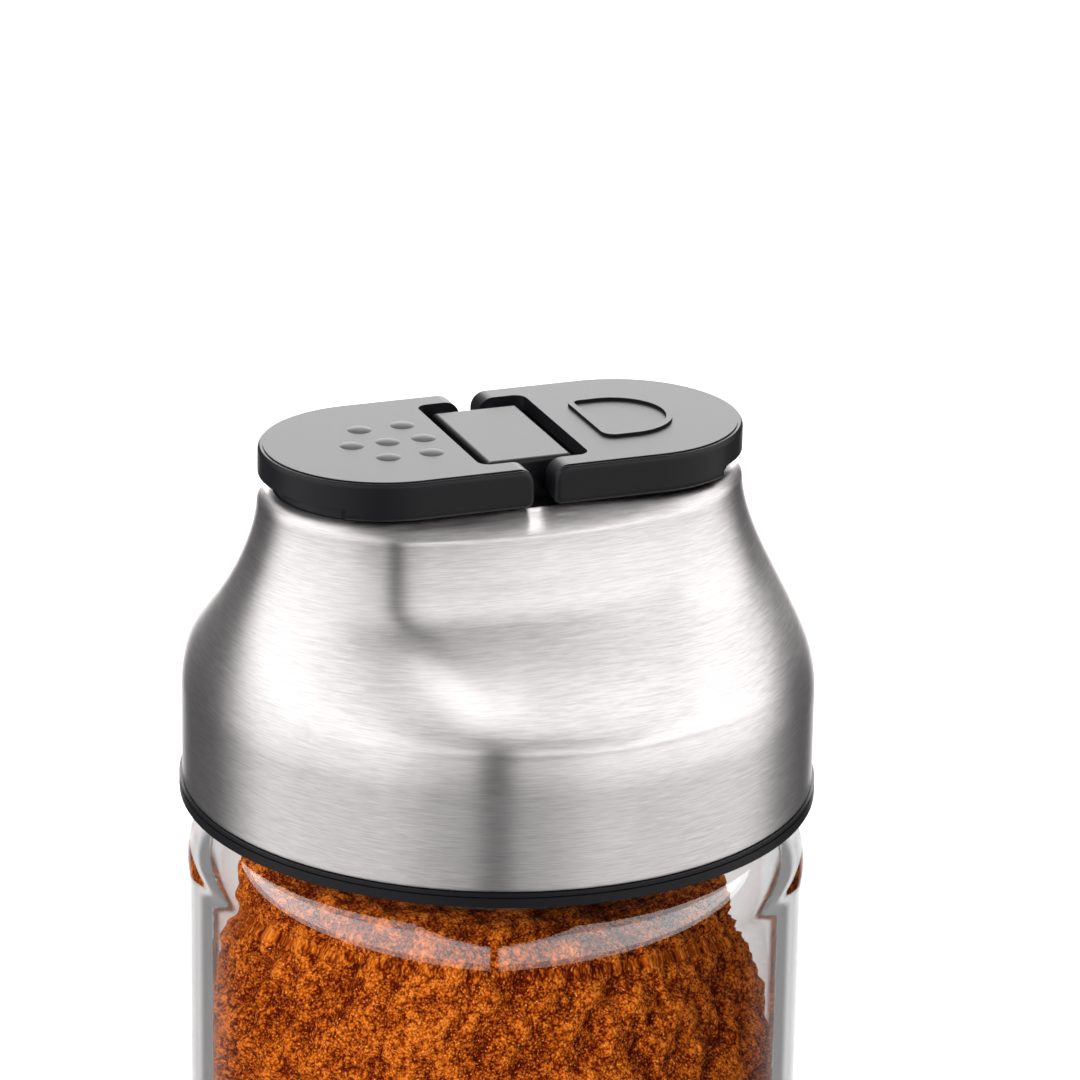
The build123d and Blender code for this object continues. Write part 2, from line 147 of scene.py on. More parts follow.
def mesh_object(name, points, faces, values=None):
    """A smooth object from points and quads, turned outwards, with its poles merged.

    Each entry of values is a number for every point, kept in the mesh for a material.
    """
    if enclosed(points, faces) < 0:
        faces = faces[:, ::-1]
    mesh = bpy.data.meshes.new(name)
    mesh.vertices.add(len(points))
    mesh.vertices.foreach_set("co", points.astype(np.float32).ravel())
    mesh.loops.add(faces.size)
    mesh.loops.foreach_set("vertex_index", faces.astype(np.int32).ravel())
    mesh.polygons.add(len(faces))
    mesh.polygons.foreach_set("loop_start", np.arange(0, faces.size, 4, dtype=np.int32))
    mesh.update(calc_edges=True)
    for label, numbers in (values or {}).items():
        layer = mesh.attributes.new(label, "FLOAT", "POINT")
        layer.data.foreach_set("value", numbers.astype(np.float32).ravel())
    work = bmesh.new()
    work.from_mesh(mesh)
    bmesh.ops.remove_doubles(work, verts=work.verts, dist=1e-7)
    work.to_mesh(mesh)
    work.free()
    mesh.shade_smooth()
    made = bpy.data.objects.new(name, mesh)
    bpy.context.scene.collection.objects.link(made)
    print(name, "has", len(mesh.polygons), "faces")
    return made


def surface(name, grid, closed_rows, values=None):
    """An object from a grid of points with shape (rows, columns, 3)."""
    rows, columns = grid.shape[:2]
    return mesh_object(name, grid.reshape(-1, 3), grid_faces(rows, columns, closed_rows), values)


# %% Profiles and paths
def arc(centre, radius, start, end, steps):
    """Points (across, up) on a circle's arc, between two angles in degrees."""
    turn = np.radians(np.linspace(start, end, steps))
    return np.stack([centre[0] + radius * np.cos(turn), centre[1] + radius * np.sin(turn)], axis=-1)


def upright(radius, start, end, steps):
    """Points (across, up) on a straight wall, between two heights."""
    return np.stack([np.full(steps, radius), np.linspace(start, end, steps)], axis=-1)


def lathe(profile, columns):
    """A grid that turns a profile of (radius, height) about the Z axis."""
    turn = np.arange(columns) * 2 * math.pi / columns
    radius, height = profile[:, :1], profile[:, 1:]
    return np.stack(np.broadcast_arrays(radius * np.cos(turn), radius * np.sin(turn), height), -1)


def stadium(straight, radius, columns):
    """Points round stadiums, one row for each pair of straight half length and radius.

    A quarter is an arc of a quarter turn and then half of a straight side. The
    columns are spaced evenly along it, and the other quarters mirror it.
    """
    straight, radius = straight[:, None], radius[:, None]
    step = np.arange(columns) * 4 / columns
    quarter = np.floor(step).astype(int)
    share = np.where(quarter % 2 == 0, step - quarter, quarter + 1 - step)
    bend = radius * math.pi / 2
    along = share * (bend + straight)
    turn = np.minimum(along / radius, math.pi / 2)
    x = straight + radius * np.cos(turn) - np.maximum(along - bend, 0)
    y = radius * np.sin(turn)
    return np.where((quarter == 0) | (quarter == 3), x, -x), np.where(quarter < 2, y, -y)


# %% [markdown]
# ## Materials as expressions
# A finish is written as sums. The class below wraps a socket, so that
# `0.3 + 0.1 * grain` adds the two Math nodes that it needs. Every other node
# comes from one method that takes its type, its settings and its inputs.


# %% Sockets with operators
class Wire:
    """The output of a node. Python's operators on it add Math nodes."""

    def __init__(self, tree, socket):
        self.tree = tree
        self.socket = socket

    def maths(self, operation, other=0):
        """A Math node with this value first."""
        return self.tree.node("Math", {"operation": operation}, {0: self, 1: other})

    def sibling(self, name):
        """Another output of the same node."""
        return Wire(self.tree, self.socket.node.outputs[name])

    def __add__(self, other):
        return self.maths("ADD", other)

    def __sub__(self, other):
        return self.maths("SUBTRACT", other)

    def __rsub__(self, other):
        return self.tree.node("Math", {"operation": "SUBTRACT"}, {0: other, 1: self})

    def __mul__(self, other):
        return self.maths("MULTIPLY", other)

    def __pow__(self, other):
        return self.maths("POWER", other)

    __radd__ = __add__
    __rmul__ = __mul__

    def larger(self, other):
        """The larger of this value and another."""
        return self.maths("MAXIMUM", other)

    def smaller(self, other):
        """The smaller of this value and another."""
        return self.maths("MINIMUM", other)

    def above(self, edge, softness):
        """0 under the edge and 1 over it, with a soft step between."""
        settings = {"interpolation_type": "SMOOTHSTEP"}
        ends = {"Value": self, "From Min": edge - softness, "From Max": edge + softness}
        return self.tree.node("MapRange", settings, ends)

    def ramp(self, low, high, first, last):
        """Goes straight from one value to another, and stays there."""
        ends = {"Value": self, "From Min": low, "From Max": high, "To Min": first, "To Max": last}
        return self.tree.node("MapRange", None, ends)

    def blend(self, share, other):
        """This value, or the other one where the share is 1."""
        return self * (1 - share) + share * other


# %% Trees and finishes
class Nodes:
    """A tree of shader nodes in the making."""

    def __init__(self, tree):
        self.tree = tree
        tree.nodes.clear()

    def node(self, kind, settings=None, inputs=None, out=0):
        """Adds a node, with its settings first, then its inputs, and gives one of its outputs."""
        made = self.tree.nodes.new("ShaderNode" + kind)
        for key, value in (settings or {}).items():
            setattr(made, key, value)
        for key, value in (inputs or {}).items():
            if isinstance(value, Wire):
                self.tree.links.new(value.socket, made.inputs[key])
            else:
                made.inputs[key].default_value = value
        return Wire(self, made.outputs[out])


class Finish(Nodes):
    """A material in the making."""

    def __init__(self, name):
        self.material = bpy.data.materials.new(name)
        self.material.use_nodes = True
        super().__init__(self.material.node_tree)
        self.output = self.tree.nodes.new("ShaderNodeOutputMaterial")

    def place(self, scale=(1, 1, 1), turn=(0, 0, 0)):
        """Object coordinates, stretched and turned."""
        spot = self.node("TexCoord", out="Object")
        return self.node("Mapping", None, {"Vector": spot, "Scale": scale, "Rotation": turn})

    def noise(self, place, scale=1.0, detail=2.0, roughness=0.5):
        """Soft random values from 0 to 1."""
        inputs = {"Vector": place, "Scale": scale, "Detail": detail, "Roughness": roughness}
        return self.node("TexNoise", None, inputs)

    def mix(self, factor, first, second):
        """A colour between two colours."""
        return self.node("Mix", {"data_type": "RGBA"}, {0: factor, 6: first, 7: second}, out=2)

    def bump(self, height, depth):
        """A normal from a height of 0 to 1, which stands for a depth in metres."""
        return self.node("Bump", None, {"Height": height, "Distance": depth})

    def shader(self, **inputs):
        """A Principled shader. Underscores in the names stand for spaces."""
        named = {key.replace("_", " "): value for key, value in inputs.items()}
        return self.node("BsdfPrincipled", None, named)

    def done(self, shader):
        """The finished material."""
        self.tree.links.new(shader.socket, self.output.inputs["Surface"])
        print(self.material.name, "uses", len(self.tree.nodes), "nodes")
        return self.material


def tone(red, green, blue):
    """A screen colour from 0 to 255 as the linear colour that nodes take."""
    share = np.array([red, green, blue]) / 255
    linear = np.where(share <= 0.04045, share / 12.92, ((share + 0.055) / 1.055) ** 2.4)
    return (*linear.tolist(), 1.0)


def dress(piece, material, body, node):
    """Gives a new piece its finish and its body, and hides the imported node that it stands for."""
    piece.data.materials.clear()
    piece.data.materials.append(material)
    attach(piece, body)
    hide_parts(node)
    return piece


# %% [markdown]
# ## Brushed steel
# The cap was brushed round and round, so its scratches are level lines. A
# picture of scratches could be wrapped on it, but it would stretch over the
# shoulders. Together the scratches spread a reflection up and down but hardly
# sideways, which an anisotropic shader turned by a quarter does by itself.
# Long thin noise adds the single scratches that show close up.

# %% Brushed steel
hair_cells = (450, 450, 9000)           # in a metre: 2.2 mm long and 0.11 mm high
stroke_cells = (160, 160, 4200)         # 6 mm long and 0.24 mm high
stroke_turn = (0.05, 0.03, 0)           # they lean a little from level
cloud_cells = (60, 60, 60)
steel_dark = (0.56, 0.535, 0.535, 1)
steel_light = (0.745, 0.72, 0.715, 1)
scratch_depth = 0.004 * mm


def brushed_steel():
    """Level scratches, fine and coarse, over a broad cloud of more and less worn places."""
    finish = Finish("brushed_steel")
    hairs = finish.noise(finish.place(hair_cells), detail=3, roughness=0.6)
    strokes = finish.noise(finish.place(stroke_cells, stroke_turn), detail=2)
    cloud = finish.noise(finish.place(cloud_cells), detail=1)
    lines = 0.75 * hairs + 0.25 * strokes
    worn = lines + 0.25 * (cloud - 0.5)
    return finish.done(finish.shader(
        Base_Color=finish.mix(worn.above(0.5, 0.2), steel_dark, steel_light),
        Metallic=1.0,
        Roughness=0.28 + 0.12 * lines,
        Anisotropic=0.9,
        Anisotropic_Rotation=0.25,
        Normal=finish.bump(lines, scratch_depth)))


steel = brushed_steel()

# %% [markdown]
# ## The steel cap
# The cap is a drawn cup: round below, and a stadium above that matches the
# lid. A loft between the two outlines would spread the change evenly over the
# height, and the real sheet doesn't bend like that. Here its half length
# shrinks in one smooth step, while straight sides grow from nothing, quickly
# at first, which makes the steep panels at front and back. Those panels are
# crowned a little, and the rim is rolled in under the lid.

# %% Outline of the cap at each height
flare_start = 9.6 * mm                  # above the lower edge
flare_end = 0.8 * mm                    # below the rim
front_start = 13.4 * mm                 # the straight sides start here above the edge
front_end = 5.5 * mm                    # and are full length here below the rim
front_onset = 1.75
front_fade = 4.0
side_crown = 2.2 * mm                   # how far the long sides bulge
crown_onset = 0.7
crown_taper = 2.5                       # how it fades towards the round ends
crown_fade_start = 1.7 * mm             # below the rim, where the crown fades out
crown_fade_end = 0.2 * mm


def smooth_step(share):
    """0 to 1 with level ends: 3 t^2 - 2 t^3 for t between 0 and 1."""
    share = np.clip(share, 0, 1)
    return share * share * (3 - 2 * share)


def steel_outline(height):
    """Straight half length, round radius and crown of the cap at each height.

    The half length goes from the cap's radius to the lid's in a smooth step.
    The straight part is its full length times 1 - (1 - t^onset)^fade, for t
    from 0 to 1 up the panel. The crown grows with a power of t and fades out
    at the rim.
    """
    up = height - edge_z
    flare = smooth_step((up - flare_start) / (rim_z - flare_end - edge_z - flare_start))
    half_length = cap_radius - (cap_radius - lid_straight - rim_radius) * flare
    rise = np.clip((up - front_start) / (rim_z - front_end - edge_z - front_start), 0, 1)
    straight = lid_straight * (1 - (1 - rise ** front_onset) ** front_fade)
    fade = smooth_step((height - rim_z + crown_fade_start) / (crown_fade_start - crown_fade_end))
    return straight, half_length - straight, side_crown * rise ** crown_onset * (1 - fade)


# %% Steel cap
sheet = 0.5 * mm                        # thickness of the rim's lip
drawn_sheet = 0.45 * mm                 # and of the wall, which is drawn thinner
rim_round = 1.4 * mm
rim_lip = 1.5 * mm
lip_bevel = 0.05 * mm
edge_round = 0.12 * mm
wall_start = 0.3 * mm                   # first row of the wall, above the edge
outside_rows = 130
inside_rows = 40
cap_columns = 416


def cap_profile():
    """(distance in from the outline, height) up the outside, over the rim and down the inside."""
    wall_top = rim_z - rim_round
    inner_top = rim_z - sheet
    return np.concatenate([
        arc((edge_round, edge_z + edge_round), edge_round, 270, 180, 4),
        upright(0, edge_z + wall_start, wall_top - lip_bevel, outside_rows),
        arc((rim_round, wall_top), rim_round, 180, 90, 9),
        [(rim_lip - lip_bevel, rim_z), (rim_lip, rim_z - lip_bevel)],
        [(rim_lip, inner_top + lip_bevel), (rim_lip - lip_bevel, inner_top)],
        arc((rim_round, wall_top), rim_round - drawn_sheet, 90, 180, 4),
        upright(drawn_sheet, wall_top - 0.1 * mm, edge_z, inside_rows)])


def steel_cap():
    """The profile set in from the outline. The crown pushes y out by (1 - x^2)^taper of itself."""
    profile = cap_profile()
    straight, radius, crown = steel_outline(profile[:, 1])
    x, y = stadium(straight, radius - profile[:, 0], cap_columns)
    along = x / (straight + radius)[:, None]
    y = y + np.sign(y) * crown[:, None] * np.clip(1 - along ** 2, 0, 1) ** crown_taper
    grid = np.stack([x, y, np.broadcast_to(profile[:, 1:], x.shape)], axis=-1)
    return dress(surface("steel_cap", grid, True), steel, "cap", "steel_dome")


steel_cap()

# %% [markdown]
# ## Clear glass
# Pressed glass bends what is behind it and gathers the dark and the light at
# its edges. A Principled shader with full transmission does that. Three kinds
# of ray pass straight through instead. The lamp's shadow rays do, so that the
# spice behind the glass is lit. At the outermost edge rays would bend so far
# that they draw a black rim, so the edge shows what is straight behind it. And
# light that has bounced in the wall for long is let out, where a render would
# cut its path off and leave black spots.

# %% Clear glass
glass_tint = (0.98, 0.98, 0.985, 1)
passed_tint = (0.94, 0.95, 0.945, 1)    # of what passes straight through
edge_facing = (0.8, 0.04)               # from where the glass counts as edge, and how softly
trapped_after = 4.5                     # bounces, past which light is let out of the glass


def clear_glass():
    """Refracting glass, mixed with a plain see-through for the three kinds of ray."""
    finish = Finish("clear_glass")
    body = finish.shader(Base_Color=glass_tint, Roughness=0.0, IOR=1.5, Transmission_Weight=1.0)
    through = finish.node("BsdfTransparent", None, {"Color": passed_tint})
    edge = finish.node("LayerWeight", out="Facing").above(*edge_facing)
    lamp_ray = finish.node("LightPath", out="Is Shadow Ray")
    trapped = finish.node("LightPath", out="Ray Depth").above(trapped_after, 0.1)
    share = edge.larger(lamp_ray.larger(trapped))
    return finish.done(finish.node("MixShader", None, {0: share, 1: body, 2: through}))


glass = clear_glass()

# %% [markdown]
# ## The glass jar
# The jar is pressed in a thick wall, which shows as a pale band down each side.
# One surface with a thin-glass shader would be simpler, but it has no such
# band, so the jar gets a true inner surface. The screw thread could be a piece
# swept along a helix and joined on, but its faces would hide inside the glass.
# Here it is a ridge of the neck's own surface instead, whose height is worked
# out from the distance to a helix.

# %% Profile of the jar
glass_wall = 2.8 * mm
floor_thickness = 5 * mm
foot_fillet = 3 * mm
foot_ring = 7.4 * mm                    # width of the ring that the jar stands on
foot_round = 0.3 * mm                   # its inner edge
punt_depth = 1.6 * mm                   # of the hollow under the foot
shoulder_radius = 7.1 * mm
neck_radius = glass_radius - shoulder_radius
neck_wall = 2.6 * mm
neck_height = 13.1 * mm
mouth_round = 0.8 * mm
bore_round = 0.2 * mm                   # where the neck's bore meets the shoulder


def glass_profile():
    """(radius, height) from the middle of the foot, up the outside and down the inside.

    The tenths of a millimetre only keep a straight's points apart from its bends.
    """
    shoulder_z = neck_z - neck_height
    bend_z = shoulder_z - shoulder_radius
    inner = glass_radius - glass_wall
    punt = glass_radius - foot_fillet - foot_ring
    bore = neck_radius - neck_wall
    bore_z = shoulder_z - glass_wall
    floor_bend = (inner - foot_fillet, floor_thickness + foot_fillet)
    return np.concatenate([
        [(0, punt_depth), (punt * 0.5, punt_depth)],
        arc((punt - 2 * punt_depth, 0), punt_depth, 90, 45, 4),
        [(punt - foot_round, foot_round)],
        arc((punt, foot_round), foot_round, 225, 270, 3),
        [(glass_radius - foot_fillet - 0.1 * mm, 0)],
        arc((glass_radius - foot_fillet, foot_fillet), foot_fillet, -90, 0, 12),
        upright(glass_radius, foot_fillet + 0.5 * mm, bend_z - 0.3 * mm, 24),
        arc((neck_radius, bend_z), shoulder_radius, 0, 90, 28),
        upright(neck_radius, shoulder_z + 0.2 * mm, neck_z - mouth_round - 0.1 * mm, 60),
        arc((neck_radius - mouth_round, neck_z - mouth_round), mouth_round, 0, 90, 6),
        arc((bore + mouth_round, neck_z - mouth_round), mouth_round, 90, 180, 6),
        upright(bore, neck_z - mouth_round - 0.4 * mm, bore_z + 0.3 * mm, 12),
        arc((bore + bore_round, bore_z + bore_round), bore_round, 180, 270, 3),
        arc((neck_radius, bend_z), shoulder_radius - glass_wall, 90, 0, 20),
        upright(inner, bend_z - 0.3 * mm, floor_bend[1] + 0.3 * mm, 24),
        arc(floor_bend, foot_fillet, 0, -90, 12),
        [(floor_bend[0] * 0.5, floor_thickness), (0, floor_thickness)]])


# %% Thread and jar
thread_pitch = 5 * mm
thread_depth = 1.5 * mm
thread_crest = 0.7 * mm                 # half the width of the ridge's flat top
thread_root = 1.2 * mm                  # and of its foot
thread_turns = 1.15
thread_start = 5 * mm                   # above the shoulder
thread_fade = 1 / 12                    # of a turn, at each end of the ridge
jar_columns = 256


def thread_ridge(grid):
    """Pushes the neck's outside out to a flat-topped ridge that climbs with the turn.

    Each point's height above the helix, folded to one pitch, gives a trapezoid:
    full depth within the crest's width, and down to nothing at the root's. The
    ridge fades in and out at its ends.
    """
    x, y, z = grid[..., 0], grid[..., 1], grid[..., 2]
    radius = np.hypot(x, y)
    turn = np.mod(np.arctan2(y, x) / (2 * math.pi), 1)
    start = neck_z - neck_height + thread_start
    climb = (z - start) / thread_pitch - turn
    lap = np.round(climb)
    off = np.abs(climb - lap) * thread_pitch
    travelled = lap + turn
    flank = np.clip((thread_root - off) / (thread_root - thread_crest), 0, 1)
    ends = np.clip(np.minimum(travelled, thread_turns - travelled) / thread_fade, 0, 1)
    outside = np.abs(radius - neck_radius) < 0.01 * mm
    grown = radius + np.where(outside, thread_depth * flank * ends, 0)
    share = grown / np.maximum(radius, 1e-9)
    return np.stack([x * share, y * share, z], axis=-1)


def glass_jar():
    """The turned profile with its thread."""
    grid = thread_ridge(lathe(glass_profile(), jar_columns))
    return dress(surface("jar_glass", grid, False), glass, "jar", "glass_jar")


glass_jar()

# %% [markdown]
# ## Ground spice
# Ground spice clings in crumbs of many sizes. Thousands of scattered crumbs
# would be heavy, and most would be hidden, so one closed heap gets them as its
# relief. Each crumb is a cell of a Worley pattern: the distance to the nearest
# of many scattered points gives round heads with creases between them. Two
# sizes of crumb are added to soft hollows in the mesh, and the material adds
# finer ones. Next to the glass a crumb is pushed out only as far as there is
# room. A painted shade from the same relief, from 0 in the creases to 1 on the
# heads, is stored as an attribute, so that the material paints the creases dark
# and the heads light.

# %% Crumbs
cell_primes = np.array([73856093, 19349663, 83492791])
seed_prime = 7919
mixing = (48271, 69621, 16807)
mixing_prime = 1000003
fold = 971
random_steps = 65536


def scattered(base, seed):
    """A random triple for each cell, mixed from the cell's whole numbers and the seed."""
    key = base.astype(np.int64) @ cell_primes + seed_prime * seed
    mixed = [(key * factor) % mixing_prime * (factor % fold) % random_steps for factor in mixing]
    return np.stack(mixed, axis=-1) / random_steps


def neighbours(low, high):
    """Every step of whole numbers between two limits, in three directions."""
    steps = range(low, high + 1)
    return [np.array([dx, dy, dz]) for dx in steps for dy in steps for dz in steps]


def crumbs(points, cell, seed):
    """1 in the middle of a crumb and 0 far off: 1 - distance to the nearest scattered point."""
    place = points / cell
    base = np.floor(place).astype(int)
    nearest = np.ones(points.shape[:-1])
    for step in neighbours(-1, 1):
        corner = base + step
        nearest = np.minimum(nearest, np.linalg.norm(place - corner - scattered(corner, seed), axis=-1))
    return 1 - nearest


def hollows(points, cell, seed):
    """Three random values from -1 to 1 at the corners of cells, blended smoothly between them."""
    place = points / cell
    base = np.floor(place).astype(int)
    part = place - base
    part = part * part * (3 - 2 * part)
    total = 0.0
    for step in neighbours(0, 1):
        weight = np.prod(np.where(step == 1, part, 1 - part), axis=-1)
        total = total + weight[..., None] * (2 * scattered(base + step, seed) - 1)
    return total


# %% The heap
powder_radius = powder_high.x
heap_drop = (16 * mm, 20 * mm)          # on the left and on the right, as the camera sees it
heap_power = (9, 4.5)
heap_rows = 50
row_spread = 0.55                       # under 1, so that rows crowd towards the heap's edge
powder_foot = 3 * mm                    # radius of its lower edge
close_share = 0.42                      # of the side, from the heap down, that has close rows
close_rows = 100
wide_rows = 31
powder_columns = 520


def spice_grid():
    """The heap from its top outwards, the side from the heap down, and the foot inwards.

    From its top the heap falls by a drop times a power of the share of the
    radius. Both go smoothly from their left values to their right ones, so the
    heap is steep at the left edge and slopes away on the right.
    """
    turn = np.arange(powder_columns) * 2 * math.pi / powder_columns
    right = 0.5 + 0.5 * np.cos(turn + view_yaw)
    drop = heap_drop[0] + (heap_drop[1] - heap_drop[0]) * right
    power = heap_power[0] + (heap_power[1] - heap_power[0]) * right
    out = np.linspace(0, 1, heap_rows)[:, None] ** row_spread * powder_radius
    heap = powder_high.z - drop * (out / powder_radius) ** power
    wall_low = powder_low.z + powder_foot
    close = np.linspace(0, close_share, close_rows)[1:]
    wide = np.linspace(close_share, 1, wide_rows)[1:]
    side = heap[-1] + (wall_low - heap[-1]) * np.concatenate([close, wide])[:, None]
    foot = arc((powder_radius - powder_foot, wall_low), powder_foot, 0, -90, 6)[1:]
    inner = np.linspace((powder_radius - powder_foot, powder_low.z), (0, powder_low.z), 8)[1:]
    under = np.concatenate([foot, inner])
    heights = np.concatenate([heap, side, np.repeat(under[:, 1:], powder_columns, 1)])
    radii = np.concatenate([np.repeat(out, powder_columns, 1), np.full(side.shape, powder_radius),
                            np.repeat(under[:, :1], powder_columns, 1)])
    return np.stack([radii * np.cos(turn), radii * np.sin(turn), heights], axis=-1)


def grid_normals(grid):
    """Unit normals from the differences along rows and columns, turned away from the middle."""
    around = np.roll(grid, -1, 1) - np.roll(grid, 1, 1)
    normal = np.cross(np.gradient(grid, axis=0), around)
    length = np.linalg.norm(normal, axis=-1, keepdims=True)
    normal = np.where(length > 1e-12, normal / np.maximum(length, 1e-12), (0, 0, 1))
    middle = np.array([0, 0, grid[..., 2].mean()])
    return normal * np.sign(np.sum(normal * (grid - middle), -1, keepdims=True))


# %% Relief of the spice
warp_size = 1.2 * mm                    # cells of a small warp that makes the crumbs uneven
warp_reach = 0.3 * mm
hollow_size = 5.5 * mm
lump_size = 2.6 * mm
grain_size = 1.15 * mm
loose_start = 30 * mm                   # below the top, from where the crumbs stand prouder
loose_fade = 9 * mm
loose_gain = 0.2
flat_foot = 0.5 * mm                    # the lowest part lies flat on the glass
glass_reach = 0.25 * mm                 # how far out the pressed crumbs come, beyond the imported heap


def spice_relief(grid):
    """Height of the crumbs in metres, and the painted shade: how light each place is painted, from 0 to
    1.
    """
    warped = grid + warp_reach * hollows(grid, warp_size, 1)
    large = hollows(grid, hollow_size, 2)[..., 0]
    lumps = crumbs(warped, lump_size, 3)
    grains = crumbs(warped, grain_size, 4)
    crumbly = 1.2 * lumps + 0.7 * grains
    # Painted shade: creases and low places are painted darker, crumb heads lighter.
    light = np.clip(0.2 + 0.65 * (crumbly + 0.3 * large - 0.6), 0, 1)
    return (0.7 * large + crumbly - 1) * mm, light


def spice_push(grid, normals, relief):
    """How far each point moves along its normal: its relief, cut to the room up to the glass."""
    height = grid[..., 2]
    loose = np.clip((height - (powder_high.z - loose_start)) / loose_fade, 0, 1)
    push = relief * np.where(height < powder_low.z + flat_foot, 0, 1 + loose_gain * loose)
    radius = np.hypot(grid[..., 0], grid[..., 1])
    outward = push * np.sum(normals[..., :2] * grid[..., :2], -1) / np.maximum(radius, 1e-9)
    room = powder_radius + glass_reach - radius
    return push * np.clip(room / np.maximum(outward, 1e-9), 0, 1)


def spice():
    """The heap with its crumbs. Its first and last rows are drawn together to a pole."""
    grid = spice_grid()
    relief, light = spice_relief(grid)
    normals = grid_normals(grid)
    moved = grid + normals * spice_push(grid, normals, relief)[..., None]
    moved[0] = moved[0].mean(0)
    moved[-1] = moved[-1].mean(0)
    # The painted shade of the crumbs is kept in the mesh for the material.
    piece = surface("spice", moved, False, {"painted_crumb_shade": light})
    return dress(piece, spice_material, "jar", "spice_fill")


# %% Colour of the spice
# The dark colour is a painted shadow and the light one a painted highlight; the body colour between is
# the spice's own orange.
spice_painted_shadow = tone(78, 16, 2)
spice_body = tone(176, 81, 15)
spice_painted_highlight = tone(230, 130, 44)
spice_speck = tone(248, 184, 108)
crumb_cells = 1.3                       # in a millimetre
grain_cells = 3.6
dust_cells = 5.0
usual = 0.45                            # about the mean of a crumb pattern
crumb_depth = 0.5 * mm


def ground_spice():
    """Orange crumbs with painted shade in the creases, in three sizes of grain.

    The stored painted shade, the crumbs, the grains and the dust are added up.
    The crumbs and grains are lighter in their middles, so they paint shade at
    their edges too, and the dust adds random tone. The sum takes the colour from
    a painted shadow through the body colour to a painted highlight, and the
    highest dust makes pale specks.
    """
    finish = Finish("ground_spice")
    # The painted shade stored in the mesh, low in the creases and high on the heads.
    light = finish.node("Attribute", {"attribute_name": "painted_crumb_shade"}, out="Fac")
    place = finish.place((1 / mm, 1 / mm, 1 / mm))
    crumb = 1 - finish.node("TexVoronoi", None, {"Vector": place, "Scale": crumb_cells})
    grain = 1 - finish.node("TexVoronoi", None, {"Vector": place, "Scale": grain_cells})
    dust = finish.noise(place, dust_cells, 2, 0.6)
    fine = 0.5 * (crumb - usual) + 0.7 * (grain - usual) + 0.9 * (dust - 0.5)
    mixed = 0.6 * light + fine + 0.06
    # Painted shade: low sums take the painted shadow colour, high sums the painted highlight colour.
    body = finish.mix(mixed.above(0.3, 0.28), spice_painted_shadow, spice_body)
    bright = finish.mix(mixed.above(0.62, 0.28), body, spice_painted_highlight)
    colour = finish.mix(dust.above(0.7, 0.06), bright, spice_speck)
    relief = 0.5 * crumb + 0.3 * grain + 0.2 * dust
    return finish.done(finish.shader(Base_Color=colour, Roughness=0.95, Specular_IOR_Level=0.08,
                                     Normal=finish.bump(relief, crumb_depth)))


spice_material = ground_spice()
spice()

# %% [markdown]
# ## Plastics and pins
# The ring and the lid are moulded in a satin black, the collar inside the cap
# is grey, and the seal and the pads are soft and pale. One colour and one
# gloss would look like paint. A very fine grain in the roughness and the relief
# gives the moulded skin, and a broad cloud keeps the colour from being flat.
# The hinge pins are drawn steel, with fine rings round their length. These
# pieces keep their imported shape.

# %% Plastics
skin_cells = 5200                       # in a metre: 0.19 mm
patch_cells = 160                       # 6 mm
patch_shade = 0.75                      # of the colour, in the darker patches
skin_depth = 0.004 * mm


def moulded(name, colour, roughness, gloss):
    """A moulded plastic with its fine skin."""
    finish = Finish(name)
    grain = finish.noise(finish.place(), skin_cells, 2)
    cloud = finish.noise(finish.place(), patch_cells, 2)
    shade = tuple(patch_shade * c for c in colour[:3]) + (1,)
    return finish.done(finish.shader(
        Base_Color=finish.mix(cloud, shade, colour),
        Roughness=roughness + 0.08 * grain,
        Specular_IOR_Level=gloss,
        Normal=finish.bump(grain, skin_depth)))


black_plastic = moulded("black_plastic", (0.004, 0.004, 0.005, 1), roughness=0.32, gloss=0.24)
grey_plastic = moulded("grey_plastic", (0.11, 0.11, 0.115, 1), roughness=0.4, gloss=0.5)
soft_seal = moulded("soft_seal", (0.42, 0.42, 0.41, 1), roughness=0.6, gloss=0.4)

# %% Pins, and who wears what
ring_cells = (200, 6000, 200)           # in a metre: the pins lie along Y


def pin_steel():
    """Bright steel whose gloss changes in rings along the pin."""
    finish = Finish("pin_steel")
    rings = finish.noise(finish.place(ring_cells), detail=2)
    return finish.done(finish.shader(Base_Color=(0.75, 0.75, 0.76, 1), Metallic=1.0,
                                     Roughness=0.18 + 0.14 * rings))


pins = pin_steel()
for names, material in (
        (("base_ring", "lid_deck", "hinge_bridge", "shaker_flap", "pour_flap"), black_plastic),
        (("inner_cap",), grey_plastic),
        (("jar_seal", "shaker_plug", "pour_plug"), soft_seal),
        (("shaker_hinge_pin", "pour_hinge_pin"), pins)):
    for name in names:
        node = frame["nodes"][name]
        node.data.materials.clear()
        node.data.materials.append(material)

# %% [markdown]
# ## Studio
# The shaker stands between two tall light walls, with a dark gap between them
# where the camera looks in, and a bright backdrop behind. Dark cards stand at
# the back corners and draw the dark edges of the steel and the glass. All this
# could be built from lamps and boards, but nothing except directions matters
# to so small an object, so the whole studio is a pattern in the world's
# shader, in degrees from the camera, to the right and up. The camera itself
# sees plain white instead.
#
# Steel and glass want different light, as in a studio where each is shot on
# its own. So the sharp mirror of the glass sees only two lamp panels and the
# backdrop, and what shows through the glass is a white set with grey at the
# sides.

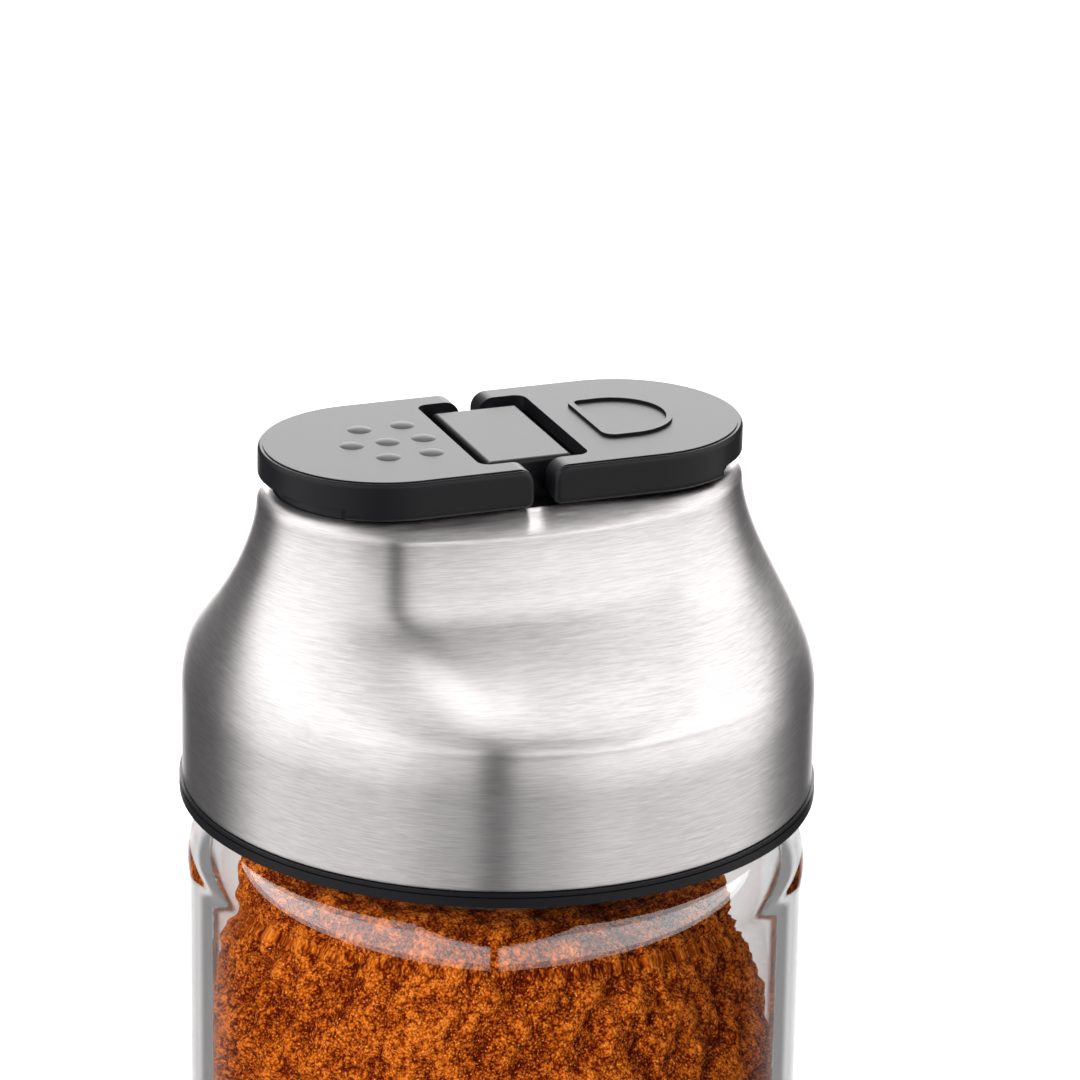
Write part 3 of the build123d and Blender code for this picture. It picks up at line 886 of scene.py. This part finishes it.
# %% Sizes of the studio
# Each edge is a pair: its angle, and how softly it fades, both in degrees.
wall_light = 1.7
wall_swell = 0.15                       # the walls are this much lighter at their far ends
wall_top = (50, 6.3)
gap_edge = (5.7, 1)                     # of the dark gap between the walls
low_edge = (16, 3.6)                    # under it the walls are dimmer
low_share = 0.76
middle_edge = (28, 12)                  # and near the camera dimmer still
low_middle_share = 0.4
card_left = (-109, 12.5)                # where the light walls end and the dark cards begin
card_right = (121, 12.5)
card_reach = 10                         # how much nearer the cards stand under this edge
reach_edge = (-8, 6)
card_light = 0.1
card_top = (22, 3)
above_card = 1.2
front_left = (-51, 10)                  # between these there is nothing above the walls
front_right = (74, 10)
back_edge = (162, 3)                    # the cards end, and the backdrop begins
back_light = 1.95
back_top = (3, 6)
back_top_light = 4.5
table_edge = (-23.5, 0.6)               # a dark strip of table in front
table_lit = (-30, 1)                    # and a lit one under it
table_light = 0.37
table_side = (130, 5)

# %% Sizes of what the glass sees
panel_light = 2.2
panel_gap = (1.5, 0.5)
panel_end = (122, 2)
panel_low, panel_low_climb = -10, 0.3   # lower edge at the gap, and its climb in a degree
panel_high, panel_high_climb = 27, 0.65
panel_top = 61                          # the upper edge climbs no further
panel_fall, panel_fall_slope = 113, 0.66    # and it falls on this line towards the panel's end
panel_softness = 0.7
glass_white = 0.85                      # what shows through the glass
glass_side = (122, 12)                  # the white set stands beyond this edge
glass_top = (62, 3)                     # and above this one
card_grey = 0.73                        # the share of the white that the cards take away
glass_back = (147, 4)                   # for the glass, the cards end a little sooner


# %% Studio as a pattern
def directions(tree):
    """Azimuth and height of the ray in degrees, from the camera's side, to the right and up."""
    way = tree.node("TexCoord", out="Generated")
    split = tree.node("SeparateXYZ", None, {"Vector": way})
    x, y, z = split, split.sibling("Y"), split.sibling("Z")
    turn = -math.pi / 2 - view_yaw
    ahead = x * math.cos(turn) + y * math.sin(turn)
    aside = y * math.cos(turn) - x * math.sin(turn)
    return (180 / math.pi) * aside.maths("ARCTAN2", ahead), (180 / math.pi) * z.maths("ARCSINE")


def light_walls(off, height):
    """The two walls and the gap. Low down they are dimmer, most of all near the camera."""
    level = wall_light * (1 + wall_swell * off.ramp(0, 90, -0.5, 1))
    middle = 1 - off.above(*middle_edge)
    low = 1 - height.above(*low_edge)
    level = level * (1 - low * (1 - low_share + (low_share - low_middle_share) * middle))
    return level * off.above(*gap_edge)


def cards(azimuth, height):
    """1 behind the edges of the dark cards and 0 in front of them."""
    nearer = card_reach * (1 - height.above(*reach_edge))
    right = (azimuth + nearer).above(*card_right)
    return right + 1 - (azimuth - nearer).above(*card_left)


def lamp_panels(off, height):
    """The two lamps in the walls. Each is a slanted sheet whose edges climb away from the gap."""
    low_line = panel_low + panel_low_climb * off
    rising = (panel_high + panel_high_climb * off).smaller(panel_top)
    high_line = rising.smaller(panel_fall - panel_fall_slope * off)
    across = off.above(*panel_gap) * (1 - off.above(*panel_end))
    up = height.above(low_line, panel_softness) * (1 - height.above(high_line, panel_softness))
    return panel_light * (1 + off.ramp(0, 90, 0, 1)) * across * up


def studio_pattern(tree):
    """Radiance of the studio in the ray's direction.

    Each line lays one more thing over what is there: the cards, the space above
    the walls, the backdrop, the table, and then what only the glass sees.
    """
    azimuth, height = directions(tree)
    off = azimuth.maths("ABSOLUTE")
    side = cards(azimuth, height)
    behind = off.above(*back_edge)
    front = azimuth.above(*front_left) * (1 - azimuth.above(*front_right))
    in_front = (1 - height.above(*table_edge)) * (1 - off.above(*table_side))
    level = light_walls(off, height)
    level = level.blend(side, card_light + (above_card - card_light) * height.above(*card_top))
    level = level.blend(height.above(*wall_top), above_card * (1 - front))
    level = level.blend(behind, back_light + (back_top_light - back_light) * height.above(*back_top))
    level = level.blend(in_front, table_light * (1 - height.above(*table_lit)))
    lamps = lamp_panels(off, height)
    open_back = off.above(*glass_back)
    mirrored = glass_white * open_back + (back_light - glass_white) * behind + lamps
    level = level.blend(tree.node("LightPath", out="Is Singular Ray"), mirrored)
    lit = off.above(*glass_side).larger(height.above(*glass_top))
    clear = (glass_white * lit * (1 - card_grey * side * (1 - open_back))).larger(lamps)
    level = level.blend(tree.node("LightPath", out="Is Transmission Ray"), clear)
    return level.blend(tree.node("LightPath", out="Ray Depth").above(trapped_after, 0.1), glass_white)


# %% World
def world():
    """The studio's pattern for every ray but the camera's own, which sees plain white."""
    sky = bpy.data.worlds.new("studio")
    bpy.context.scene.world = sky
    sky.use_nodes = True
    tree = Nodes(sky.node_tree)
    strength = studio_pattern(tree)
    light = tree.node("Background", None, {"Color": (1, 1, 1, 1), "Strength": strength})
    white = tree.node("Background", None, {"Color": (1, 1, 1, 1)})
    seen = tree.node("LightPath", out="Is Camera Ray")
    both = tree.node("MixShader", None, {0: seen, 1: light, 2: white})
    out = sky.node_tree.nodes.new("ShaderNodeOutputWorld")
    sky.node_tree.links.new(both.socket, out.inputs["Surface"])
    print("the studio uses", len(sky.node_tree.nodes), "nodes")


world()

# %% [markdown]
# ## Key lamp
# One large soft lamp at the upper left gives the crumbs and the moulded edges
# a lit and a shaded side. The studio's walls alone would light them evenly
# from all round. Mirrors and glass don't show the lamp: they have the studio.

# %% Key lamp
lamp_way = Vector((-0.82, -0.5, 0.5))
lamp_distance = 0.9
lamp_size = 0.45
lamp_power = 11


def key_lamp():
    """A round area lamp that points at the cap's lower edge."""
    light = bpy.data.lights.new("key_lamp", "AREA")
    light.shape = "DISK"
    light.size = lamp_size
    light.energy = lamp_power
    lamp = bpy.data.objects.new("key_lamp", light)
    bpy.context.scene.collection.objects.link(lamp)
    lamp.location = aim + lamp_distance * lamp_way.normalized()
    lamp.rotation_euler = lamp_way.to_track_quat("Z", "Y").to_euler()
    lamp.visible_glossy = False
    lamp.visible_transmission = False
    print("lamp at", [round(c, 3) for c in lamp.location])


key_lamp()

# %% [markdown]
# ## Floor
# The floor is a pale sheet that keeps the shaker's shadow. For the camera it
# glows a little, so it turns white where no shadow falls. A shadow catcher
# could do that too, but it would need the render's own settings. A reflection
# or a refraction sees the floor only near the foot, and the studio beyond.

# %% Floor
floor_colour = (0.4, 0.4, 0.4, 1)       # for light that falls on the object
seen_colour = (0.75, 0.75, 0.75, 1)     # for the camera
floor_glow = 0.3
floor_half = 4.0
mirrored_reach = (0.05, 0.01)           # how far out a reflection shows the floor, and how softly
refracted_reach = (0.04, 0.005)         # and a refraction


def floor_material():
    """A pale sheet for the camera, a greyer one for other rays, and nothing far off for mirrors."""
    finish = Finish("floor")
    plain = finish.node("BsdfDiffuse", None, {"Color": floor_colour})
    pale = finish.node("BsdfDiffuse", None, {"Color": seen_colour})
    lift = finish.node("Emission", None, {"Color": (1, 1, 1, 1), "Strength": floor_glow})
    both = finish.node("AddShader", None, {0: pale, 1: lift})
    seen = finish.node("LightPath", out="Is Camera Ray")
    shown = finish.node("MixShader", None, {0: seen, 1: plain, 2: both})
    clear = finish.node("BsdfTransparent")
    split = finish.node("SeparateXYZ", None, {"Vector": finish.node("TexCoord", out="Object")})
    x, y = split, split.sibling("Y")
    reach = (x * x + y * y) ** 0.5
    mirrored = finish.node("LightPath", out="Is Glossy Ray") * reach.above(*mirrored_reach)
    refracted = finish.node("LightPath", out="Is Transmission Ray") * reach.above(*refracted_reach)
    gone = mirrored.larger(refracted)
    return finish.done(finish.node("MixShader", None, {0: gone, 1: shown, 2: clear}))


def floor():
    """One square under the shaker."""
    half = floor_half
    corners = np.array([(-half, -half, 0), (half, -half, 0), (half, half, 0), (-half, half, 0)])
    made = mesh_object("floor", corners, np.array([[0, 1, 2, 3]]))
    made.data.materials.append(floor_material())


floor()
bpy.context.scene.view_settings.view_transform = "Standard"
